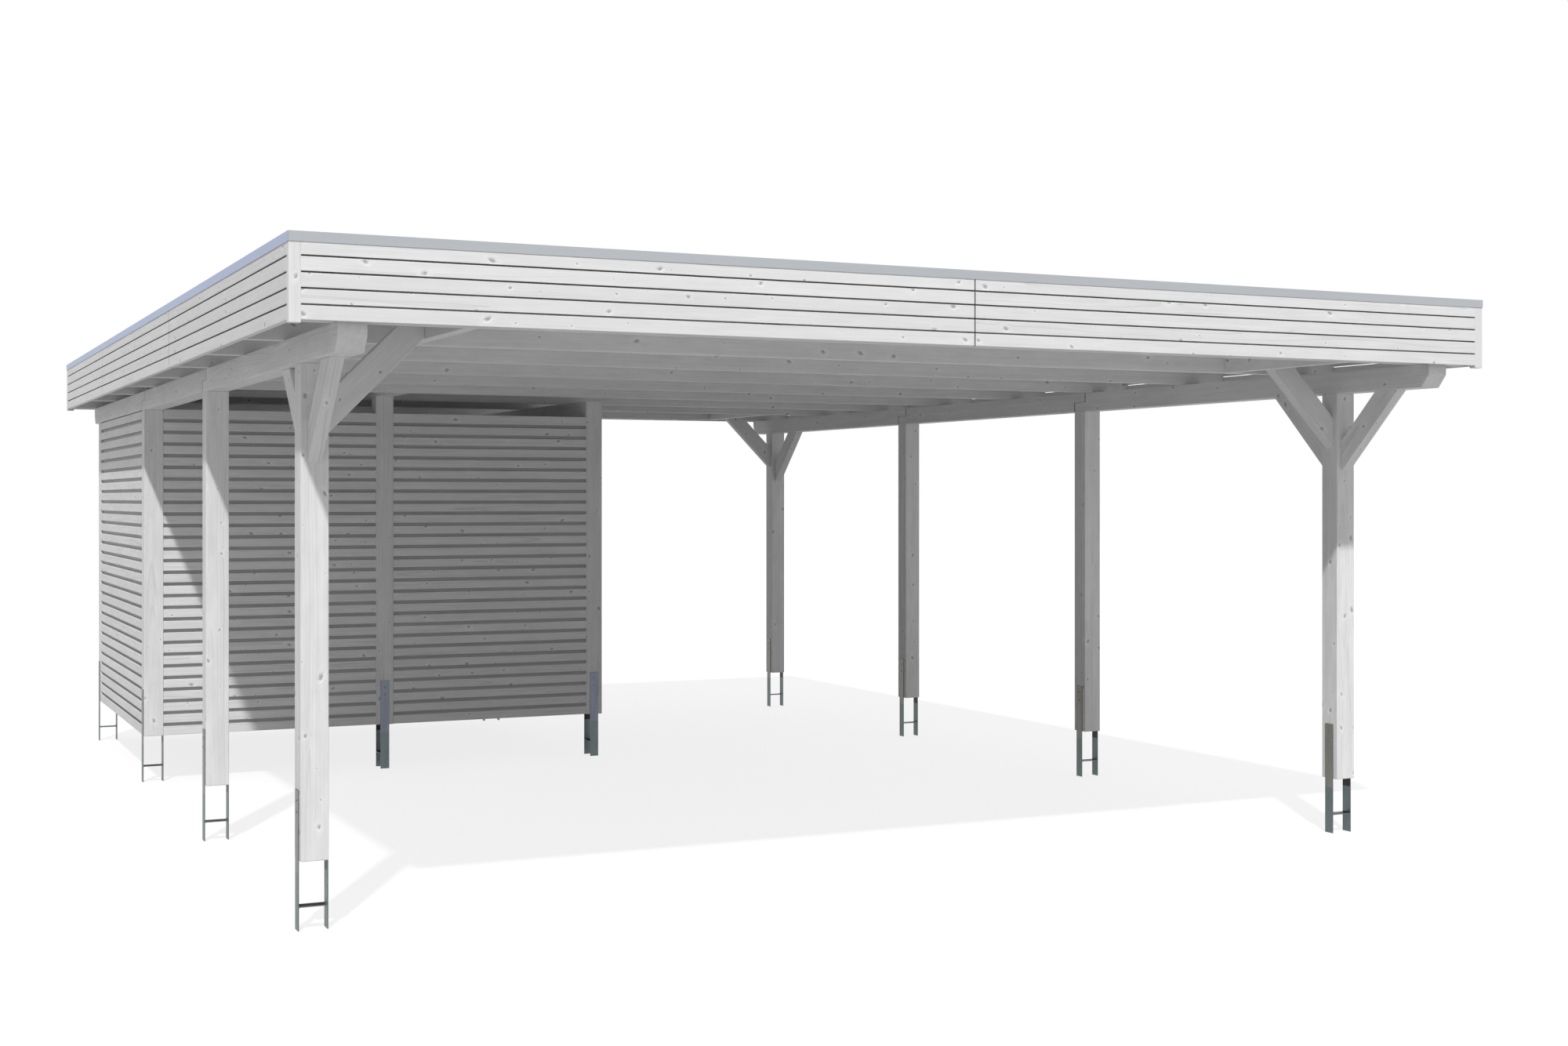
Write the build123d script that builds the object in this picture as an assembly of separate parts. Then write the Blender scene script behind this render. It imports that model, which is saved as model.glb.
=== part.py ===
"""A flat-roofed double carport with a slatted store room in its rear left corner.

All sizes are millimetres. +X is right, +Y is back and +Z is up. The origin is under the middle of
the roof, at the height of the lower ends of the steel post anchors.
"""
from build123d import *
from math import cos, radians
import os

# Posts and their grid
post_size = 120.0
post_bottom = 300.0
front_overhang = 728.0
rear_overhang = 321.0
side_overhang = 200.0
bay_length = 2385.0
bay_count = 3
post_span = 5663.0
store_bay_width = 1520.0
store_bays = 2

# Steel post anchors, each shaped like the letter H
anchor_height = 600.0
anchor_width = 60.0
anchor_thickness = 5.0
anchor_bar_bottom = 100.0

# Purlins along both sides
purlin_height = 120.0
purlin_bottom = 2420.0
purlin_setback = 49.0
purlin_end_cut_height = 66.0
purlin_end_cut_depth = 52.0
lap_gap = 3.0

# Rafters, trimmers and knee braces
rafter_width = 60.0
rafter_height = 220.0
rafter_pitch = 980.0
rafter_count = 8
first_rafter_setback = 101.5
trimmer_width = 60.0
brace_width = 60.0
brace_depth = 120.0
brace_run = 427.5
inner_brace_heel = 6.0

# Boards round the roof
fascia_board_count = 5
fascia_board_height = 56.6
fascia_slot = 6.5
fascia_thickness = 27.0
fascia_drop = 4.5
fascia_joint = 3.0
corner_batten_width = 48.0
corner_batten_depth = 40.0
corner_batten_drop = 12.0
fascia_batten_width = 60.0
fascia_batten_pitch = 1000.0
fascia_batten_pairs = 2

# Roof deck, upstand, sheet and metal edge
deck_thickness = 22.0
upstand_thickness = 40.0
upstand_height = 94.0
upstand_joint = 0.5
sheet_thickness = 3.0
trim_height = 41.0
trim_metal = 2.5
trim_projection = 3.0
trim_inner_leg = 45.0
trim_joint = 0.5

# Walls of the store room
wall_bottom = 302.0
wall_board_pitch = 76.2
wall_first_board_height = 57.0
wall_top_board_minimum = 30.0
wall_groove_height = 22.0
wall_groove_depth = 18.0
wall_board_bevel = 3.0
wall_board_thickness = 28.0
wall_top_drop = 116.0
wall_head_gap = 6.0
frame_timber_width = 60.0
frame_timber_depth = 45.0
anchor_notch_gap = 1.0
wall_joint = 0.5

# Door in the right side of the store room
door_width = 900.0
door_height = 1960.0
door_gap = 4.0
door_edge_distance = 260.0
door_ledge_height = 120.0
door_ledge_inset = 260.0
hinge_length = 380.0
hinge_strap = 40.0
hinge_metal = 4.0
hinge_leaf = 60.0
hinge_barrel_radius = 8.0
handle_height = 1050.0
handle_length = 120.0
handle_thickness = 18.0
handle_stand_off = 45.0
handle_plate_width = 42.0
handle_plate_height = 220.0
handle_plate_thickness = 4.0
handle_edge_distance = 55.0

# Sizes worked out from the ones above
roof_width = post_span + post_size + 2 * side_overhang
roof_depth = front_overhang + bay_count * bay_length + post_size + rear_overhang
half_width = roof_width / 2
half_depth = roof_depth / 2
rafter_bottom = purlin_bottom + purlin_height
rafter_top = rafter_bottom + rafter_height
deck_top = rafter_top + deck_thickness
upstand_top = deck_top + upstand_height
trim_top = upstand_top + trim_metal
fascia_bottom = rafter_bottom - fascia_drop
fascia_pitch = fascia_board_height + fascia_slot
fascia_top = fascia_bottom + fascia_board_count * fascia_pitch - fascia_slot
row_fronts = [-half_depth + front_overhang + i * bay_length for i in range(bay_count + 1)]
side_centre = post_span / 2
store_row, rear_row = bay_count - 1, bay_count
store_centres = [-side_centre + (i + 1) * store_bay_width for i in range(store_bays)]
first_rafter = -half_depth + fascia_thickness + first_rafter_setback
rafter_centres = [first_rafter + i * rafter_pitch for i in range(rafter_count)] + [-first_rafter]
wall_top = rafter_bottom - wall_top_drop
side_wall_top = purlin_bottom - wall_head_gap
panel_depth = wall_board_thickness + frame_timber_depth

os.makedirs("parts", exist_ok=True)


def block(low, high):
    """A box between two opposite corners."""
    size = [b - a for a, b in zip(low, high)]
    centre = [(a + b) / 2 for a, b in zip(low, high)]
    return Pos(*centre) * Box(*size)


def save(name, *solids):
    """Writes one named sub-part."""
    shape = solids[0] if len(solids) == 1 else Compound(children=list(solids))
    shape.label = name
    export_step(shape, f"parts/{name}.step")


def prism_along_x(points, low, high):
    """A flat outline of (y, z) points, pulled from low to high along X."""
    outline = Polyline(*[(low, y, z) for y, z in points], close=True)
    return extrude(make_face(outline), amount=high - low, dir=(1, 0, 0))


def prism_along_y(points, low, high):
    """A flat outline of (x, z) points, pulled from low to high along Y."""
    outline = Polyline(*[(x, low, z) for x, z in points], close=True)
    return extrude(make_face(outline), amount=high - low, dir=(0, 1, 0))


# Posts
def post(x, front, top):
    """One square post, up to the timber it carries."""
    half = post_size / 2
    return block((x - half, front, post_bottom), (x + half, front + post_size, top))


for row, front in enumerate(row_fronts):
    save(f"post_left_{row + 1}", post(-side_centre, front, purlin_bottom))
    save(f"post_right_{row + 1}", post(side_centre, front, purlin_bottom))
store_places = [("middle", store_centres[0]), ("right", store_centres[1])]
for name, x in store_places:
    save(f"store_post_front_{name}", post(x, row_fronts[store_row], rafter_bottom))
    save(f"store_post_rear_{name}", post(x, row_fronts[rear_row], rafter_bottom))


# Anchors
def anchor(x, front, legs_on_sides=True):
    """Two flat legs and their cross bar, on a post's sides or on its front and back."""
    inner = post_size / 2
    outer = inner + anchor_thickness
    half = anchor_width / 2
    bar = (anchor_bar_bottom, anchor_bar_bottom + anchor_thickness)
    shape = block((-inner, -half, bar[0]), (inner, half, bar[1]))
    for side in (-1, 1):
        low, high = sorted((side * inner, side * outer))
        shape += block((low, -half, 0), (high, half, anchor_height))
    turn = 0 if legs_on_sides else 90
    return Pos(x, front + post_size / 2, 0) * Rot(0, 0, turn) * shape


save("anchors_left", *[anchor(-side_centre, front) for front in row_fronts])
save("anchors_right", *[anchor(side_centre, front) for front in row_fronts])
save("anchors_store",
     *[anchor(x, row_fronts[store_row], False) for x in store_centres],
     *[anchor(x, row_fronts[rear_row]) for x in store_centres])


# Purlins, each of three lengths that lap over the second and third posts
def purlin_length(x, index):
    """One length, with a half lap at each joint and a slanting cut at each free end."""
    low, middle, high = purlin_bottom, purlin_bottom + purlin_height / 2, rafter_bottom
    end = half_depth - purlin_setback
    cut = purlin_bottom + purlin_end_cut_height
    if index == 0:
        front = [(-end + purlin_end_cut_depth, low), (-end, cut), (-end, high)]
    else:
        near = row_fronts[index]
        far = near + post_size
        front = [(far, low), (far, middle), (near, middle), (near, high)]
    if index == bay_count - 1:
        back = [(end, high), (end, cut), (end - purlin_end_cut_depth, low)]
    else:
        near = row_fronts[index + 1] - lap_gap
        far = row_fronts[index + 1] + post_size - lap_gap
        back = [(near, high), (near, middle), (far, middle), (far, low)]
    half = post_size / 2
    return prism_along_x(front + back, x - half, x + half)


for side, x in (("left", -side_centre), ("right", side_centre)):
    for index, place in enumerate(("front", "middle", "rear")):
        save(f"purlin_{side}_{place}", purlin_length(x, index))


# Rafters, from one side board to the other
def rafter(y):
    """One rafter over the whole width, with its middle at this y."""
    reach = half_width - fascia_thickness
    half = rafter_width / 2
    return block((-reach, y - half, rafter_bottom), (reach, y + half, rafter_top))


save("rafters", *[rafter(y) for y in rafter_centres])


# Trimmers between two rafters, over the inner braces and the store posts
def trimmer(x, front_index, width):
    """A short timber between one rafter and the next."""
    front = rafter_centres[front_index] + rafter_width / 2
    back = rafter_centres[front_index + 1] - rafter_width / 2
    return block((x - width / 2, front, rafter_bottom), (x + width / 2, back, rafter_top))


def rafter_before(y):
    """The last rafter that lies in front of a place."""
    return max(i for i, centre in enumerate(rafter_centres) if centre < y)


trimmer_x = side_centre - post_size / 2 - brace_run - trimmer_width / 2
front_bay = rafter_before(row_fronts[0])
rear_bay = rafter_before(row_fronts[rear_row])
store_bay = rafter_before(row_fronts[store_row])
save("trimmers",
     trimmer(-trimmer_x, front_bay, trimmer_width),
     trimmer(trimmer_x, front_bay, trimmer_width),
     trimmer(trimmer_x, rear_bay, trimmer_width),
     trimmer(store_centres[0], store_bay, post_size),
     trimmer(store_centres[0], rear_bay, post_size))
half_post = post_size / 2
save("store_header_right",
     block((store_centres[1] - half_post, row_fronts[store_row] + post_size, purlin_bottom),
           (store_centres[1] + half_post, row_fronts[rear_row], rafter_bottom)))


# Knee braces at 45 degrees
brace_slope_height = brace_depth / cos(radians(45))


def side_brace(x, start, direction):
    """From a post's front or back face, up to the underside of the purlin."""
    low = purlin_bottom - brace_run
    high = low + brace_slope_height
    outline = [(0, low), (brace_run, purlin_bottom), (purlin_bottom - high, purlin_bottom), (0, high)]
    points = [(start + direction * run, z) for run, z in outline]
    return prism_along_x(points, x - brace_width / 2, x + brace_width / 2)


def inner_brace(start, direction, front):
    """From a post's inner face, up to the side of the trimmer between two rafters."""
    low = rafter_bottom - brace_run + inner_brace_heel
    high = low + brace_slope_height
    outline = [(0, low), (brace_run, low + brace_run), (brace_run, high + brace_run), (0, high)]
    points = [(start + direction * run, z) for run, z in outline]
    middle = front + post_size / 2
    return prism_along_y(points, middle - brace_width / 2, middle + brace_width / 2)


inner_face = side_centre - half_post
for side, sign in (("left", -1), ("right", 1)):
    front = row_fronts[0]
    save(f"braces_front_{side}",
         side_brace(sign * side_centre, front, -1),
         side_brace(sign * side_centre, front + post_size, 1),
         inner_brace(sign * inner_face, -sign, front))
save("braces_rear_right",
     side_brace(side_centre, row_fronts[rear_row], -1),
     inner_brace(inner_face, -1, row_fronts[rear_row]))


# Boards round the roof
deck_x, deck_y = half_width - fascia_thickness, half_depth - fascia_thickness


def fascia_levels():
    """The lower and upper edge of each board, from the lowest up."""
    for index in range(fascia_board_count):
        low = fascia_bottom + index * fascia_pitch
        yield low, low + fascia_board_height


def runs(low, high, joints):
    """Splits a length at its butt joints and leaves a narrow gap at each."""
    edges = [low] + [e for j in joints for e in (j - fascia_joint / 2, j + fascia_joint / 2)] + [high]
    return list(zip(edges[0::2], edges[1::2]))


front_reach = half_width - corner_batten_width
side_reach = half_depth - corner_batten_depth
for name, sign in (("front", -1), ("rear", 1)):
    y0, y1 = sorted((sign * half_depth, sign * (half_depth - fascia_thickness)))
    save(f"fascia_{name}", *[block((a, y0, low), (b, y1, high))
                             for a, b in runs(-front_reach, front_reach, [0.0])
                             for low, high in fascia_levels()])
side_joints = [rafter_centres[3], rafter_centres[6]]
for name, sign in (("left", -1), ("right", 1)):
    x0, x1 = sorted((sign * half_width, sign * (half_width - fascia_thickness)))
    save(f"fascia_{name}", *[block((x0, a, low), (x1, b, high))
                             for a, b in runs(-side_reach, side_reach, side_joints)
                             for low, high in fascia_levels()])


def corner_batten(sx, sy):
    """Full section below the deck, and cut back to the boards' thickness above it."""
    x0, x1 = sorted((sx * half_width, sx * (half_width - corner_batten_width)))
    y0, y1 = sorted((sy * half_depth, sy * (half_depth - corner_batten_depth)))
    batten = block((x0, y0, fascia_bottom - corner_batten_drop), (x1, y1, fascia_top))
    return batten - block((-deck_x, -deck_y, rafter_top), (deck_x, deck_y, trim_top))


save("fascia_corner_battens", *[corner_batten(sx, sy) for sx in (-1, 1) for sy in (-1, 1)])


def fascia_batten(x, sign):
    """Fills the space between the end rafter and the boards, behind their joints."""
    outer = half_depth - fascia_thickness
    inner = -first_rafter + rafter_width / 2
    y0, y1 = sorted((sign * outer, sign * inner))
    half = fascia_batten_width / 2
    return block((x - half, y0, rafter_bottom), (x + half, y1, rafter_top))


batten_places = [i * fascia_batten_pitch for i in range(-fascia_batten_pairs, fascia_batten_pairs + 1)]
save("fascia_battens", *[fascia_batten(x, sign) for sign in (-1, 1) for x in batten_places])

# Deck, upstand and sheet
save("roof_deck", block((-deck_x, -deck_y, rafter_top), (deck_x, deck_y, deck_top)))
inner_x, inner_y = deck_x - upstand_thickness, deck_y - upstand_thickness
upstands = []
for sign in (-1, 1):
    y0, y1 = sorted((sign * deck_y, sign * inner_y))
    upstands.append(block((-deck_x, y0, deck_top), (deck_x, y1, upstand_top)))
    x0, x1 = sorted((sign * deck_x, sign * inner_x))
    end = inner_y - upstand_joint
    upstands.append(block((x0, -end, deck_top), (x1, end, upstand_top)))
save("roof_upstands", *upstands)
save("roof_sheet", block((-inner_x, -inner_y, deck_top), (inner_x, inner_y, deck_top + sheet_thickness)))


# Metal edge, a folded cap over the upstand and the boards
def trim_run(length):
    """One mitred length along X, with its outer face towards -Y at y 0."""
    width = trim_projection + fascia_thickness + upstand_thickness + trim_metal
    t = trim_metal
    section = [(0, trim_top - trim_height), (t, trim_top - trim_height), (t, trim_top - t),
               (width - t, trim_top - t), (width - t, trim_top - trim_inner_leg),
               (width, trim_top - trim_inner_leg), (width, trim_top), (0, trim_top)]
    bar = prism_along_x(section, -length / 2, length / 2)
    reach = length / 2 - trim_joint
    mitre = Polyline((-reach, 0, 0), (reach, 0, 0), (reach - width, width, 0), (-reach + width, width, 0),
                     close=True)
    return bar & extrude(make_face(mitre), amount=trim_top + 1, dir=(0, 0, 1))


trim_width = roof_width + 2 * trim_projection
trim_depth = roof_depth + 2 * trim_projection
save("roof_trim", *[Rot(0, 0, turn) * Pos(0, -reach / 2, 0) * trim_run(length)
                    for turn, length, reach in ((0, trim_width, trim_depth), (90, trim_depth, trim_width),
                                                (180, trim_width, trim_depth), (270, trim_depth, trim_width))])


# Store walls: grooved boards with a timber frame behind them
def board_section(top):
    """The (depth, z) outline of the boards, with depth 0 at the outer face."""
    bevel, groove, back = wall_board_bevel, wall_groove_depth, wall_board_thickness
    points = [(0, wall_bottom)]
    low = wall_bottom + wall_first_board_height
    while low + wall_groove_height + wall_top_board_minimum < top:
        high = low + wall_groove_height
        points += [(0, low - bevel), (bevel, low), (groove, low)]
        points += [(groove, high), (bevel, high), (0, high + bevel)]
        low += wall_board_pitch
    return points + [(0, top), (back, top), (back, wall_bottom)]


def wall_panel(length, top):
    """Stands on X from 0 to length, with its outer face towards -Y at y 0."""
    boards = prism_along_x(board_section(top), 0, length)
    y0, y1 = wall_board_thickness, panel_depth
    size = frame_timber_width
    frame = block((0, y0, wall_bottom), (length, y1, top))
    middle = (wall_bottom + top) / 2
    for low, high in ((wall_bottom + size, middle - size / 2), (middle + size / 2, top - size)):
        frame -= block((size, y0, low), (length - size, y1, high))
    notch = anchor_thickness + anchor_notch_gap
    notch_top = anchor_height + anchor_notch_gap
    frame -= block((0, y0, wall_bottom), (notch, y1, notch_top))
    frame -= block((length - notch, y0, wall_bottom), (length, y1, notch_top))
    return boards + frame


bay_gap = bay_length - post_size
store_gap = store_bay_width - post_size
left_face = -side_centre - half_post
right_face = store_centres[1] + half_post
side_front = row_fronts[store_row] + post_size
rear_face = row_fronts[rear_row] + post_size
wall_starts = [-side_centre + half_post, store_centres[0] + half_post]
left_place = Pos(left_face, side_front + bay_gap, 0) * Rot(0, 0, -90)
save("store_wall_left", left_place * wall_panel(bay_gap, side_wall_top))
for name, start in zip(("left", "right"), wall_starts):
    save(f"store_wall_front_{name}", Pos(start, row_fronts[store_row], 0) * wall_panel(store_gap, wall_top))
    save(f"store_wall_rear_{name}",
         Pos(start + store_gap, rear_face, 0) * Rot(0, 0, 180) * wall_panel(store_gap, wall_top))

# Right side of the store room, with its doorway
opening_start = door_edge_distance
opening_end = opening_start + door_width + 2 * door_gap
opening_top = wall_bottom + door_height + door_gap
right_place = Pos(right_face, side_front, 0) * Rot(0, 0, 90)


def above(shape, level):
    """What is left of a wall over one level."""
    return shape & block((-bay_length, -panel_depth, level), (bay_length, 2 * panel_depth, side_wall_top))


def below(shape, level):
    """What is left of a wall under one level."""
    return shape & block((-bay_length, -panel_depth, 0), (bay_length, 2 * panel_depth, level))


over_start, over_end = opening_start + wall_joint, opening_end - wall_joint
over_door = prism_along_x(board_section(side_wall_top), over_start, over_end)
over_door += block((over_start, wall_board_thickness, wall_bottom), (over_end, panel_depth, side_wall_top))
save("store_wall_right",
     right_place * wall_panel(opening_start, side_wall_top),
     right_place * above(over_door, opening_top),
     right_place * Pos(opening_end, 0, 0) * wall_panel(bay_gap - opening_end, side_wall_top))

door_start, door_end = opening_start + door_gap, opening_end - door_gap
door_top = wall_bottom + door_height
ledges = [wall_bottom + door_ledge_inset, (wall_bottom + door_top) / 2, door_top - door_ledge_inset]
door = below(prism_along_x(board_section(side_wall_top), door_start, door_end), door_top)
half_ledge = door_ledge_height / 2
for z in ledges:
    door += block((door_start, wall_board_thickness, z - half_ledge), (door_end, panel_depth, z + half_ledge))
save("store_door", right_place * door)


# Hinges and handle of the door
def strap_hinge(z):
    """A strap on the door, a plate on the wall and the barrel over the gap between them."""
    axis = door_end + door_gap / 2
    half = hinge_strap / 2
    plates = block((axis - hinge_length, -hinge_metal, z - half), (axis + hinge_leaf, 0, z + half))
    radius = hinge_barrel_radius
    barrel = Pos(axis, -radius, z) * Cylinder(radius, hinge_strap)
    return plates + barrel


def lever_handle():
    """A long plate with a round neck and lever."""
    x = door_start + handle_edge_distance
    across, up = handle_plate_width / 2, handle_plate_height / 2
    plate_low = (x - across, -handle_plate_thickness, handle_height - up)
    plate = block(plate_low, (x + across, 0, handle_height + up))
    reach = -handle_stand_off
    neck = Pos(x, reach / 2, handle_height) * Rot(90, 0, 0) * Cylinder(handle_thickness / 2, handle_stand_off)
    grip = Pos(x + handle_length / 2, reach, handle_height) * Rot(0, 90, 0)
    grip *= Cylinder(handle_thickness / 2, handle_length + handle_thickness)
    return plate + neck + grip


save("store_door_fittings",
     *[right_place * strap_hinge(z) for z in (ledges[0], ledges[2])],
     right_place * lever_handle())
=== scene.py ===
"""The looks of a flat-roofed double carport with a slatted store room in its rear left corner.

Everything is in metres. +X is right, +Y is back and +Z is up. Each timber is rebuilt from its solid
with eased edges, and carries coordinates that follow its own grain.
"""
import bmesh
import bpy
import math
import random
from mathutils import Matrix, Vector, bvhtree, noise

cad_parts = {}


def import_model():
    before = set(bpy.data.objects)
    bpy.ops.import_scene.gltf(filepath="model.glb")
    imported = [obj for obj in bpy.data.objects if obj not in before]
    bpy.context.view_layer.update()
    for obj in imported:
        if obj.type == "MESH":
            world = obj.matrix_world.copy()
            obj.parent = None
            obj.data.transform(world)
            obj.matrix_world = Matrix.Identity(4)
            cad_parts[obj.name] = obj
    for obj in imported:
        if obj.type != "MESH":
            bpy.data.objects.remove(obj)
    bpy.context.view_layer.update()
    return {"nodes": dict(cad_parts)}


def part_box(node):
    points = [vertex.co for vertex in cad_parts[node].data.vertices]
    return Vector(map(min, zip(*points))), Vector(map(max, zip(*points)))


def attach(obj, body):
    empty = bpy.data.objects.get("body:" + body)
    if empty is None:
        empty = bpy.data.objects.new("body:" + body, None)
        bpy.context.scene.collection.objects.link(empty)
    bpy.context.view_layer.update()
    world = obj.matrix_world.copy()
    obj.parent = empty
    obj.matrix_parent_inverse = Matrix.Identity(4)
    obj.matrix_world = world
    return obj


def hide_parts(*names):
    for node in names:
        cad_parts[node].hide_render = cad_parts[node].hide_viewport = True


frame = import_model()
BODY = "root"

# The picture and the camera that took it
PICTURE_WIDTH = 2000
PICTURE_HEIGHT = 1334
PRINCIPAL_X = 962.0
PRINCIPAL_Y = 635.6
CAMERA_PLACE = (-4.629, -11.656, 1.8435)
CAMERA_HEADING = math.radians(-25.17)
CAMERA_REACH = 400.0
SENSOR_WIDTH = 36.0
LENS = 44.27

# Light and floor
SUN_TRAVEL = Vector((0.402, 0.757, -1.0))
SUN_STRENGTH = 2.50
SUN_SOFTNESS = math.radians(1.5)
SKY_ALL_ROUND = 0.22
SKY_IN_FRONT = 0.38
SKY_OVERHEAD = 0.50
FLOOR_TONE = 0.42
FLOOR_SIZE = 160.0
FLOOR_GLOW = 0.82
FLOOR_SHADOW_DEPTH = 0.20
FLOOR_DROP = 0.001

# Sizes shared with the solids
ANCHOR_LEG_TOP = 0.600
ANCHOR_THICKNESS = 0.005
ANCHOR_CLEARANCE = 0.001
BAR_BOTTOM = 0.100
BAR_WIDTH = 0.060
BOARD_PITCH = 0.0762
BOARD_COUNT = 28
FIRST_GROOVE = 0.359
GROOVE_HEIGHT = 0.022
GROOVE_DEPTH = 0.018
BOARD_THICKNESS = 0.028
WALL_DEPTH = 0.073
STUD_WIDTH = 0.060
WALL_BOTTOM = 0.302
DOOR_GAP = 0.004
OVER_DOOR_PLAY = 0.0005
LEDGE_HEIGHT = 0.120
LEDGE_INSET = 0.260
HINGE_PLATE = 0.004

# How edges are eased, and when two faces count as one flat side
POST_EASE = 0.003
BOARD_EASE = 0.002
FRAME_EASE = 0.0015
ANCHOR_EASE = 0.0006
EDGE_METAL_EASE = 0.0009
FITTING_EASE = 0.0008
FLAT_ANGLE = math.radians(0.5)
EASED_ANGLE = math.radians(20)
WELD_DISTANCE = 1e-5


# Mesh helpers
def loose_parts(bm):
    """The faces of each separate solid, always in the same order."""
    bm.faces.ensure_lookup_table()
    seen = set()
    parts = []
    for first in bm.faces:
        if first in seen:
            continue
        seen.add(first)
        part = [first]
        for face in part:
            for edge in face.edges:
                for other in edge.link_faces:
                    if other not in seen:
                        seen.add(other)
                        part.append(other)
        parts.append(part)
    return parts


def nodes_named(*starts):
    return sorted(n for n in frame["nodes"] if n.startswith(starts))


def solids_of(*names):
    """The solids of these nodes, welded, and with one face for each flat side."""
    bm = bmesh.new()
    for name in names:
        bm.from_mesh(frame["nodes"][name].data)
    bmesh.ops.remove_doubles(bm, verts=bm.verts, dist=WELD_DISTANCE)
    bmesh.ops.dissolve_limit(bm, angle_limit=FLAT_ANGLE, verts=bm.verts, edges=bm.edges)
    return bm


def ease(bm, width, segments=2):
    """Rounds the sharp convex edges."""
    sharp = [e for e in bm.edges
             if e.is_manifold and e.is_convex and e.calc_face_angle() > EASED_ANGLE]
    bmesh.ops.bevel(bm, geom=sharp, offset=width, segments=segments, profile=0.5,
                    affect="EDGES", clamp_overlap=True)


def eased_solids(width, *names):
    bm = solids_of(*names)
    ease(bm, width)
    return bm


def solid_boxes(node):
    """The lowest and highest corner of each solid of a node."""
    bm = solids_of(node)
    found = []
    for part in loose_parts(bm):
        places = [v.co for f in part for v in f.verts]
        low = Vector([min(p[i] for p in places) for i in range(3)])
        high = Vector([max(p[i] for p in places) for i in range(3)])
        found.append((low, high))
    bm.free()
    return found


def outward(bm):
    bmesh.ops.recalc_face_normals(bm, faces=bm.faces)


def join(bm, part):
    """Moves the geometry of one bmesh into another."""
    mesh = bpy.data.meshes.new("part")
    outward(part)
    part.to_mesh(mesh)
    part.free()
    bm.from_mesh(mesh)
    bpy.data.meshes.remove(mesh)


def box_into(bm, low, high, place=Matrix.Identity(4)):
    """Adds a box between two corners."""
    low, high = Vector(low), Vector(high)
    size = Matrix.Diagonal((*(high - low), 1))
    bmesh.ops.create_cube(bm, size=1, matrix=place @ Matrix.Translation((low + high) / 2) @ size)


def close_rings(bm, first, last):
    """Joins two rings of points with a band of faces, and closes both ends."""
    count = len(first)
    for i in range(count):
        j = (i + 1) % count
        bm.faces.new((first[i], first[j], last[j], last[i]))
    bm.faces.new(list(reversed(first)))
    bm.faces.new(last)


def bar_into(bm, section, start, end, place=Matrix.Identity(4)):
    """Adds a bar along local X, whose section is a list of (y, z) points."""
    rings = [[bm.verts.new(place @ Vector((x, y, z))) for y, z in section] for x in (start, end)]
    close_rings(bm, *rings)


def turned_into(bm, profile, place, sides=16):
    """Adds a round shape about local Z, from (radius, height) points from the middle out."""
    angles = [2 * math.pi * i / sides for i in range(sides)]
    rings = []
    for radius, height in profile:
        if radius == 0:
            rings.append([bm.verts.new(place @ Vector((0, 0, height)))] * sides)
            continue
        spots = [(radius * math.cos(a), radius * math.sin(a), height) for a in angles]
        rings.append([bm.verts.new(place @ Vector(spot)) for spot in spots])
    for inner, outer in zip(rings, rings[1:]):
        for i in range(sides):
            j = (i + 1) % sides
            corners = dict.fromkeys((inner[i], inner[j], outer[j], outer[i]))
            bm.faces.new(list(corners))
    bm.faces.new(rings[-1])


def facing_out(point, direction):
    """Local Z along a direction, at a point."""
    turn = Vector(direction).to_track_quat("Z", "Y").to_matrix().to_4x4()
    return Matrix.Translation(point) @ turn


def piece(bm, name, slot, material, *nodes):
    """Makes a finished object of a bmesh, in place of these nodes."""
    mesh = bpy.data.meshes.new(name)
    bm.to_mesh(mesh)
    bm.free()
    mesh.materials.append(material)
    made = bpy.data.objects.new(name, mesh)
    bpy.context.scene.collection.objects.link(made)
    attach(made, BODY)
    if nodes:
        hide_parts(*nodes)


# Unglazed wood in the joints and grooves, where no brush reaches it, with painted shade where little
# light reaches it
BARE_AND_SHADED = 1
IN_A_JOINT = 2
JOINT_REACH = 0.012
CLEAR_OF_CORNER = 0.0015
WHOLE_SIDE_AREA = 0.0008
SQUARE_ON = 0.99
LEANING = 0.3
INTO_THE_GAP = 0.0021
UNDER_THE_EDGE = 0.003
GAP_REACH = 0.004


def all_solids():
    """Every solid of the frame, for finding what a face looks at."""
    points, faces = [], []
    for name in sorted(frame["nodes"]):
        mesh = frame["nodes"][name].data
        first = len(points)
        points += [v.co.copy() for v in mesh.vertices]
        faces += [[first + i for i in polygon.vertices] for polygon in mesh.polygons]
    return bvhtree.BVHTree.FromPolygons(points, faces)


SOLIDS = all_solids()


def in_a_joint(face):
    """IN_A_JOINT where all of a face looks at another solid close by, and 0 elsewhere."""
    middle = face.calc_center_median()
    for vert in face.verts:
        start = middle.lerp(vert.co, 0.5) + face.normal * CLEAR_OF_CORNER
        if SOLIDS.ray_cast(start, face.normal, JOINT_REACH)[0] is None:
            return 0
    return IN_A_JOINT


def flat_in_a_joint(face):
    """Like in_a_joint, but only on whole sides, not on the eased edges beside a tight joint."""
    whole = face.calc_area() > WHOLE_SIDE_AREA and max(abs(n) for n in face.normal) > SQUARE_ON
    return in_a_joint(face) if whole else 0


def beside_a_gap(face):
    """IN_A_JOINT on the ends of two lengths that meet with a narrow gap, and on their edges."""
    for axis in (0, 1):
        lean, other = face.normal[axis], face.normal[1 - axis]
        if abs(lean) < LEANING:
            continue
        start = face.calc_center_median()
        start[axis] += math.copysign(INTO_THE_GAP, lean)
        if abs(other) > LEANING / 2:
            start[1 - axis] -= math.copysign(UNDER_THE_EDGE, other)
        ahead = Vector((0, 0, 0))
        ahead[axis] = math.copysign(1, lean)
        _, hit_normal, _, _ = SOLIDS.ray_cast(start, ahead, GAP_REACH)
        if hit_normal is not None and hit_normal.dot(ahead) < 0:
            return IN_A_JOINT
    return 0


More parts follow.
